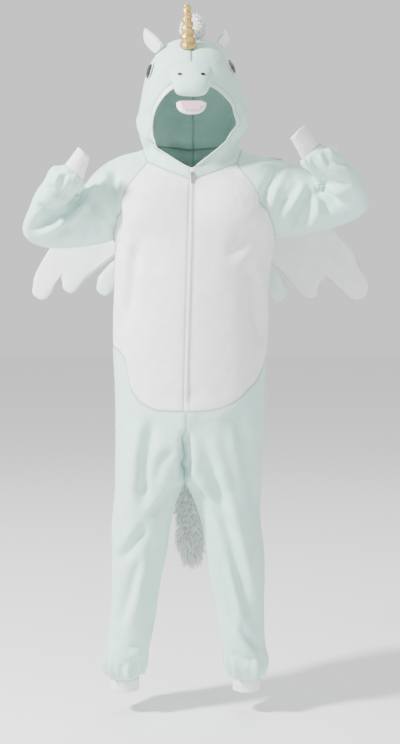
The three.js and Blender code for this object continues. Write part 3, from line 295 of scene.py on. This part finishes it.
# Gathers over a ribbed cuff, in mm: the middle of its ring (x, y, z), the way up the limb, how far
# they reach, their height and two counts round the limb.
GATHERS = [
    ((-172, 0, -1300), (0.03, 0, 1), 85, 3.2, 11, 17),
    ((136, 0, -1300), (-0.03, 0, 1), 85, 3.2, 10, 15),
    ((-284, -127, -42), (-0.45, 0.25, -0.85), 55, 2.2, 8, 13),
    ((284, -127, 8), (0.45, 0.25, -0.85), 55, 2.2, 9, 14),
]
LIMB_RADIUS = 75                # in mm; gathers stop beyond it
RIDGE_SHARE = 0.55
FOLD_DEPTH = 1.7
SEAM_DEPTH = 1.3 * MM
SEAM_SOFT = 5 * MM


def fold_field(points, normals):
    """How far the cloth moves out at each point, in metres."""
    x, z = points[:, 0] / MM, points[:, 2] / MM
    total = np.zeros(len(points))
    for line, depth, width, face, lean in FOLDS:
        best = np.full(len(points), 1e9)
        side = np.zeros(len(points))
        along = np.zeros(len(points))
        lengths = [math.dist(a, b) for a, b in zip(line, line[1:])]
        done = 0.0
        for (x1, z1), (x2, z2), length in zip(line, line[1:], lengths):
            ux, uz = (x2 - x1) / length, (z2 - z1) / length
            t = np.clip((x - x1) * ux + (z - z1) * uz, 0, length)
            dx, dz = x - x1 - ux * t, z - z1 - uz * t
            far = np.hypot(dx, dz)
            near = far < best
            best = np.where(near, far, best)
            side = np.where(near, np.sign(dx * uz - dz * ux), side)
            along = np.where(near, (done + t) / sum(lengths), along)
            done += length
        ends = smooth_step(0, 0.22, along) * smooth_step(0, 0.3, 1 - along)
        trough = np.exp(-((best / width) ** 2))
        ridge = np.exp(-(((best * side * lean - 1.9 * width) / (1.1 * width)) ** 2)) * RIDGE_SHARE * abs(lean)
        facing = 1 if face == 0 else smooth_step(-0.05, 0.5, normals[:, 1] * face)
        total += depth * (ridge - trough) * ends * facing
    for (cx, cy, cz), way, reach, height, one, two in GATHERS:
        way = np.array(way) / np.linalg.norm(way)
        rel = points / MM - (cx, cy, cz)
        up = rel @ way
        across = rel - up[:, None] * way
        level = np.cross(way, (0, 1, 0))
        level /= np.linalg.norm(level)
        angle = np.arctan2(across @ np.cross(way, level), across @ level)
        wave = np.cos(one * angle + 0.6) + 0.7 * np.cos(two * angle + 2.1 + 0.01 * up)
        on_limb = np.linalg.norm(across, axis=1) < LIMB_RADIUS
        near = smooth_step(0, 12, up) * (1 - smooth_step(reach * 0.3, reach, up)) * on_limb
        total += height * wave * near
    return total * FOLD_DEPTH * MM


def waves(points, scale, height, seed):
    shift = Vector((seed, 2 * seed, 0))
    return np.array([noise.noise(Vector(p) / scale + shift) for p in points]) * height


def edge_keys(quads):
    pairs = np.concatenate([quads[:, [i, (i + 1) % 4]] for i in range(4)])
    return pairs, np.sort(pairs, axis=1)


def seam_points(quads, pieces):
    """The points that lie on an edge between two pieces."""
    _, keys = edge_keys(quads)
    owner = np.tile(pieces, 4)
    order = np.lexsort((keys[:, 1], keys[:, 0]))
    keys, owner = keys[order], owner[order]
    same = (keys[1:] == keys[:-1]).all(axis=1) & (owner[1:] != owner[:-1])
    return np.unique(keys[1:][same])


def walled(points, normals, quads, wall):
    """A closed wall: the faces given, the same faces moved in, and the rim between them."""
    used, flat = np.unique(quads, return_inverse=True)
    faces = flat.reshape(-1, 4)
    outer, out = points[used], normals[used]
    inner = outer - out * wall
    pairs, keys = edge_keys(faces)
    _, first, count = np.unique(keys, axis=0, return_index=True, return_counts=True)
    rim = pairs[first[count == 1]]
    n = len(used)
    rims = np.column_stack([rim[:, 1], rim[:, 0], rim[:, 0] + n, rim[:, 1] + n])
    return np.concatenate([outer, inner]), np.concatenate([faces, faces[:, ::-1] + n, rims])


# ------------------------------------------------------------ materials

def linear(red, green, blue):
    return [((v / 255 + 0.055) / 1.055) ** 2.4 if v > 10.3 else v / 255 / 12.92 for v in (red, green, blue)] + [1.0]


def material(name, colour, rough=0.9, sheen=0.0, metal=0.0, mottle=0.05, mottle_size=0.03, nap=0.4, nap_size=0.0012,
             seam_shade=False, second=None):
    """A surface with a soft change of tone and a fine bump. The seam option adds painted shade: the colour darkens
    along the seams, where the cloth dips in.
    """
    mat = bpy.data.materials.new(name)
    mat.use_nodes = True
    tree = mat.node_tree
    surface = tree.nodes["Principled BSDF"]
    surface.inputs["Roughness"].default_value = rough
    surface.inputs["Metallic"].default_value = metal
    surface.inputs["Sheen Weight"].default_value = sheen
    surface.inputs["Sheen Roughness"].default_value = 0.45
    place = tree.nodes.new("ShaderNodeTexCoord").outputs["Object"]

    def grain(size, detail):
        node = tree.nodes.new("ShaderNodeTexNoise")
        node.inputs["Scale"].default_value = 1 / size
        node.inputs["Detail"].default_value = detail
        tree.links.new(place, node.inputs["Vector"])
        return node.outputs["Fac"]

    base = linear(*colour)
    other = linear(*second) if second else [v * (1 - 4 * mottle) for v in base[:3]] + [1.0]
    spread = tree.nodes.new("ShaderNodeMapRange")
    spread.inputs["From Min"].default_value = 0.3
    spread.inputs["From Max"].default_value = 0.7
    tree.links.new(grain(mottle_size, 4), spread.inputs["Value"])
    tone = tree.nodes.new("ShaderNodeMix")
    tone.data_type = "RGBA"
    tone.inputs["A"].default_value = other
    tone.inputs["B"].default_value = base
    tree.links.new(spread.outputs["Result"], tone.inputs["Factor"])
    shade = tone.outputs["Result"]
    # Painted shade: near a seam the colour darkens to 0.62 of the base, standing in for the shade in the seam's dip.
    if seam_shade:
        near = tree.nodes.new("ShaderNodeAttribute")
        near.attribute_name = "seam"
        seam_shade_mix = tree.nodes.new("ShaderNodeMix")
        seam_shade_mix.data_type = "RGBA"
        seam_shade_mix.inputs["B"].default_value = [v * 0.62 for v in base[:3]] + [1.0]
        tree.links.new(near.outputs["Fac"], seam_shade_mix.inputs["Factor"])
        tree.links.new(shade, seam_shade_mix.inputs["A"])
        shade = seam_shade_mix.outputs["Result"]
    tree.links.new(shade, surface.inputs["Base Color"])
    bump = tree.nodes.new("ShaderNodeBump")
    bump.inputs["Strength"].default_value = nap
    bump.inputs["Distance"].default_value = 0.0012
    tree.links.new(grain(nap_size * 4, 5), bump.inputs["Height"])
    tree.links.new(bump.outputs["Normal"], surface.inputs["Normal"])
    return mat


# The mint and white plush carry painted shade along their seams.
MINT = material("mint_plush", (196, 230, 221), sheen=0.2, mottle=0.025, mottle_size=0.05, seam_shade=True)
WHITE = material("white_plush", (236, 237, 236), sheen=0.2, mottle=0.02, seam_shade=True)
PALE = material("pale_mint_plush", (222, 238, 230), sheen=0.2, mottle=0.03)
RIBBED = material("rib", (235, 234, 233), rough=0.85, mottle=0.02, nap_size=0.0007)
SATIN = material("binding", (214, 234, 228), rough=0.45, mottle=0.03, nap=0.1)
LINING = material("lining", (240, 239, 236), sheen=0.2, mottle=0.02)
PINK = material("pink_cloth", (226, 182, 190), rough=0.85, mottle=0.03)
BLACK = material("black_thread", (26, 26, 30), rough=0.4, mottle=0.02, nap=0.3, nap_size=0.0006)
GOLD = material("gold_cloth", (226, 198, 128), rough=0.36, metal=0.8, mottle_size=0.004, nap=0.7, nap_size=0.0009,
                second=(176, 140, 74))
FUR = material("long_white_plush", (240, 240, 238), sheen=0.3, mottle=0.02, mottle_size=0.008)
TAPE = material("zip_tape", (232, 233, 233), rough=0.8, mottle=0.02, nap_size=0.0006)
THREAD = material("thread", (198, 205, 203), rough=0.7, mottle=0.02)
NICKEL = material("zip_metal", (206, 206, 204), rough=0.3, metal=1.0, mottle=0.02, nap=0.05)

# ------------------------------------------------------------ the cloth

RIB_COUNT = 30
RIB_HEIGHT = 0.7
UP_THE_WRIST = (0.45, -0.25, 0.85)
KINDS = {
    "front": (WHITE, "white_plush", PLUSH), "leg_front": (MINT, "mint_plush", PLUSH),
    "back": (MINT, "mint_plush", PLUSH), "sleeve": (MINT, "mint_plush", PLUSH), "hood": (MINT, "mint_plush", PLUSH),
    "hood_binding": (SATIN, "binding", PLUSH), "cuff_wrist": (RIBBED, "rib", RIB),
    "cuff_ankle": (RIBBED, "rib", RIB), "zip": (TAPE, "zip_tape", ZIP_TAPE),
}


def ribs(points, pieces, quads):
    """Knitted ribs run along each cuff, in metres."""
    total = np.zeros(len(points))
    for number, name in enumerate(SHELL):
        if not name.startswith("cuff"):
            continue
        own = np.unique(quads[pieces == number])
        part = points[own]
        middle = part.mean(axis=0)
        _, _, ways = np.linalg.svd(part - middle, full_matrices=False)
        axis = np.array((0, 0, 1.0))
        if "wrist" in name:
            axis = ways[np.argmax(np.abs(ways @ np.array(UP_THE_WRIST)))]
        level = np.cross(axis, (0.3, 1, 0.1))
        level /= np.linalg.norm(level)
        rel = part - middle
        total[own] = np.cos(RIB_COUNT * np.arctan2(rel @ np.cross(axis, level), rel @ level)) * RIB_HEIGHT * MM
    return total


def cloth_shell():
    points, normals, quads, pieces = arrays(shell_mesh())
    lift = fold_field(points, normals) + waves(points, 0.14, 2.4 * MM, 3)
    lift += waves(points * (1, 1, 0.5), 0.045, 1.3 * MM, 8)
    cuffs = np.unique(quads[np.isin(pieces, [i for i, n in enumerate(SHELL) if n.startswith("cuff")])])
    lift[cuffs] *= 0.2
    points = points + normals * (lift + ribs(points, pieces, quads))[:, None]
    normals = point_normals(points, quads)
    points = points + normals * waves(points, 0.016, 0.5 * MM, 21)[:, None]
    seam = seam_points(quads, pieces)
    tree = KDTree(len(seam))
    for i in seam:
        tree.insert(points[i], int(i))
    tree.balance()
    gap = np.array([tree.find(p)[2] for p in points])
    points = points - normals * (SEAM_DEPTH * np.exp(-((gap / SEAM_SOFT) ** 2)))[:, None]
    return points, point_normals(points, quads), quads, pieces, gap


POINTS, NORMALS, QUADS, PIECES, SEAM_GAPS = cloth_shell()
SKIN = BVHTree.FromPolygons([Vector(p) for p in POINTS], QUADS.tolist())
for number, name in enumerate(SHELL):
    kind = name if name == "zip" else name.rsplit("_", 1)[0]
    look, slot, wall = KINDS[kind]
    own = QUADS[PIECES == number]
    points, faces = walled(POINTS, NORMALS, own, wall)
    cloth = make(name + "_cloth", points, faces, look)
    # How near each point lies to a seam: the mask for the painted seam shade in the plush materials.
    near = np.exp(-((SEAM_GAPS[np.unique(own)] / (2.5 * MM)) ** 2))
    seam_shade_mark = cloth.data.attributes.new("seam", "FLOAT", "POINT")
    seam_shade_mark.data.foreach_set("value", np.concatenate([near, near]))
    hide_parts(name)


# ------------------------------------------------------------ what lies on the cloth

BENT = math.radians(70)


def soft_copy(node, look, levels, lumps=0.0, size=0.04):
    bm = bmesh.new()
    bm.from_mesh(NODES[node].data)
    bmesh.ops.remove_doubles(bm, verts=bm.verts, dist=2e-5)
    bmesh.ops.join_triangles(bm, faces=bm.faces, angle_face_threshold=BENT, angle_shape_threshold=BENT)
    coarse = bpy.data.meshes.new(node)
    bm.to_mesh(coarse)
    bm.free()
    points, normals, quads, _ = arrays(subdivided(coarse, levels))
    if lumps:
        points = points + normals * waves(points, size, lumps, len(node))[:, None]
    piece = make(node + "_cloth", points, quads, look)
    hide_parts(node)
    return piece


soft_copy("muzzle", MINT, 3, 1.6 * MM, 0.035)
soft_copy("muzzle_lip", LINING, 2, 0.4 * MM, 0.02)
for side in SIDES:
    soft_copy(f"ear_{side}", MINT, 2, 0.6 * MM, 0.02)
    soft_copy(f"ear_lining_{side}", LINING, 2, 0.6 * MM, 0.02)
    soft_copy(f"eye_rim_{side}", LINING, 1)
    soft_copy(f"eye_{side}", BLACK, 1)
    soft_copy(f"nostril_{side}", BLACK, 1)
    soft_copy(f"wing_{side}", WHITE, 1)
    soft_copy(f"wing_feather_{side}", PALE, 1)


HORN_FOOT = np.array((-11, -96, 260)) * MM
HORN_TIP = np.array((-14, -116, 364)) * MM
HORN_WIDE = (21 * MM, 8 * MM)
HORN_TURNS = 5.5
HORN_RINGS, HORN_SIDES = 120, 72


def horn():
    """A stuffed cone pulled in by one wound cord."""
    axis = HORN_TIP - HORN_FOOT
    up = axis / np.linalg.norm(axis)
    level = np.cross(up, (0, 1, 0))
    level /= np.linalg.norm(level)
    other = np.cross(up, level)
    points = []
    for j in range(HORN_RINGS + 1):
        share = j / HORN_RINGS
        radius = HORN_WIDE[0] + (HORN_WIDE[1] - HORN_WIDE[0]) * share
        dome = math.sqrt(max(0.0, 1 - max(0.0, (share - 0.94) / 0.06) ** 2))
        for i in range(HORN_SIDES):
            angle = 2 * math.pi * i / HORN_SIDES
            turn = (angle / (2 * math.pi) + HORN_TURNS * share) % 1.0
            cord = math.exp(-((min(turn, 1 - turn) / 0.17) ** 2))
            pleat = 0.02 * math.cos(13 * angle + 9 * share) * (1 - cord)
            reach = radius * (1 - 0.24 * cord + pleat) * max(dome, 0.02)
            points.append(HORN_FOOT + axis * share + level * reach * math.cos(angle) + other * reach * math.sin(angle))
    n = HORN_SIDES
    faces = [
        (j * n + i, j * n + (i + 1) % n, (j + 1) * n + (i + 1) % n, (j + 1) * n + i)
        for j in range(HORN_RINGS) for i in range(n)
    ]
    faces += [tuple(range(n))[::-1], tuple(range(HORN_RINGS * n, (HORN_RINGS + 1) * n))]
    piece = make("horn_cloth", points, faces, GOLD)
    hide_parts("horn")


def locks(name, base, count, length, wide, down):
    """Curved tapering locks of pile that stand out of a base piece."""
    mesh = base.data
    polygons = list(mesh.polygons)
    weights = np.array([p.area for p in polygons])
    chosen = RNG.choice(len(polygons), count, p=weights / weights.sum())
    points, faces = [], []
    for index in chosen:
        polygon = polygons[index]
        corners = [mesh.vertices[v].co for v in polygon.vertices]
        mix = RNG.dirichlet([1.0] * len(corners))
        root = sum((c * float(m) for c, m in zip(corners, mix)), Vector())
        out = polygon.normal.copy()
        flow = Vector((RNG.normal(0, 0.25), RNG.normal(0, 0.2), -down + RNG.normal(0, 0.2)))
        way = (out * 0.55 + flow).normalized()
        across = way.orthogonal().normalized()
        long = length * float(RNG.uniform(0.55, 1.15))
        start = len(points)
        for step, size in ((0, 1.0), (0.4, 0.95), (0.75, 0.6), (1.0, 0.08)):
            middle = root + way * long * step + flow * long * 0.25 * step * step - out * 1.5 * MM
            for turn in range(3):
                angle = 2 * math.pi * turn / 3
                spoke = across * math.cos(angle) + way.cross(across) * math.sin(angle)
                points.append(middle + spoke * wide * size)
        for ring in range(3):
            for turn in range(3):
                a, b = start + ring * 3 + turn, start + ring * 3 + (turn + 1) % 3
                faces.append((a, b, b + 3, a + 3))
        faces += [(start + 2, start + 1, start), (start + 9, start + 10, start + 11)]
    pile = make(name, points, faces, FUR)


horn()
mane = soft_copy("mane", FUR, 2, 3 * MM, 0.03)
locks("mane_pile", mane, 1500, 12 * MM, 1.7 * MM, 0.5)
tail = soft_copy("tail", FUR, 2, 5 * MM, 0.04)
locks("tail_pile", tail, 2600, 20 * MM, 2.2 * MM, 0.9)
for node, look in (("mouth", PINK), ("zip_slider", NICKEL), ("zip_pull", NICKEL)):
    NODES[node].data.materials.clear()
    NODES[node].data.materials.append(look)


# ------------------------------------------------------------ sewing and the zip

FRONT_OF_ALL = -1.0
ZIP_TOP, ZIP_END = -0.052, -0.592
COIL = (4.6 * MM, 1.3 * MM, 1.4 * MM)       # width, height and depth of one turn of the coil
COIL_STEP = 2.3 * MM
STITCH = (0.9 * MM, 3.0 * MM, 0.6 * MM)     # width, length and depth of one stitch
STITCH_STEP = 4.6 * MM
PLACKET = 11 * MM                           # from the coil to its topstitching

def landed(x, z, lift):
    """The point of the cloth in front of (x, z), moved out, and the way it faces."""
    hit, normal, _, _ = SKIN.ray_cast(Vector((x, FRONT_OF_ALL, z)), Vector((0, 1, 0)))
    return (hit + normal * lift, normal) if hit else (None, None)


def bars(name, look, slot, places, wide, tall, deep):
    """Small blocks, each at a point, along a way, standing on a normal."""
    points, faces = [], []
    for place, along, normal in places:
        across = along.cross(normal).normalized()
        start = len(points)
        for k in (-1, 1):
            for i, j in ((-1, -1), (1, -1), (1, 1), (-1, 1)):
                points.append(place + across * wide / 2 * i + along * tall / 2 * j + normal * deep / 2 * k)
        faces += [tuple(start + v for v in f) for f in (
            (3, 2, 1, 0), (4, 5, 6, 7), (0, 1, 5, 4), (1, 2, 6, 5), (2, 3, 7, 6), (3, 0, 4, 7),
        )]
    piece = make(name, points, faces, look, smooth=False)


zip_points = np.array([v.co for v in NODES["zip"].data.vertices])
zip_line = np.polyfit(zip_points[:, 2], zip_points[:, 0], 1)


def along_zip(step, aside, lift):
    places, z = [], ZIP_TOP
    while z > ZIP_END:
        place, normal = landed(float(np.polyval(zip_line, z)) + aside, z, lift)
        if place:
            places.append((place, Vector((0, 0, 1)), normal))
        z -= step
    return places


bars("zip_coil", TAPE, "zip_tape", along_zip(COIL_STEP, 0, 0.5 * MM), *COIL)
for aside in (-PLACKET, PLACKET):
    bars(f"placket_stitches_{'right' if aside < 0 else 'left'}", THREAD, "white_plush",
         along_zip(STITCH_STEP, aside, 0.1 * MM), *STITCH)


# ------------------------------------------------------------ the pale studio

CAMERA_AT = Vector((0.0175, -4.0, -0.25))
CAMERA_TO = Vector((0.0175, 0.0, -0.53))
FLOOR = -1.395

camera_data = bpy.data.cameras.new("camera")
camera_data.sensor_fit = "VERTICAL"
camera_data.angle_y = math.radians(26.2)
camera = bpy.data.objects.new("camera", camera_data)
camera.location = CAMERA_AT
camera.rotation_euler = (CAMERA_TO - CAMERA_AT).to_track_quat("-Z", "Y").to_euler()
bpy.context.scene.collection.objects.link(camera)
bpy.context.scene.camera = camera

world = bpy.data.worlds.new("studio")
world.use_nodes = True
world.node_tree.nodes["Background"].inputs["Color"].default_value = (1, 1, 1, 1)
world.node_tree.nodes["Background"].inputs["Strength"].default_value = 0.95
bpy.context.scene.world = world


def soft_light(name, place, size, power, aim=(0, 0, -0.45)):
    data = bpy.data.lights.new(name, "AREA")
    data.size = size
    data.energy = power
    light = bpy.data.objects.new(name, data)
    light.location = place
    light.rotation_euler = (Vector(aim) - Vector(place)).to_track_quat("-Z", "Y").to_euler()
    bpy.context.scene.collection.objects.link(light)


soft_light("key", (-3.0, -1.9, 2.2), 0.6, 620)
soft_light("fill", (2.8, -2.6, 0.8), 2.0, 30)
soft_light("back", (0.6, 3.0, 2.4), 2.0, 60)

floor_mat = bpy.data.materials.new("floor")
floor_mat.use_nodes = True
floor_mat.node_tree.nodes["Principled BSDF"].inputs["Base Color"].default_value = (0.9, 0.9, 0.9, 1)
bpy.ops.mesh.primitive_plane_add(size=30, location=(0, 0, FLOOR))
floor = bpy.context.object
floor.data.materials.append(floor_mat)
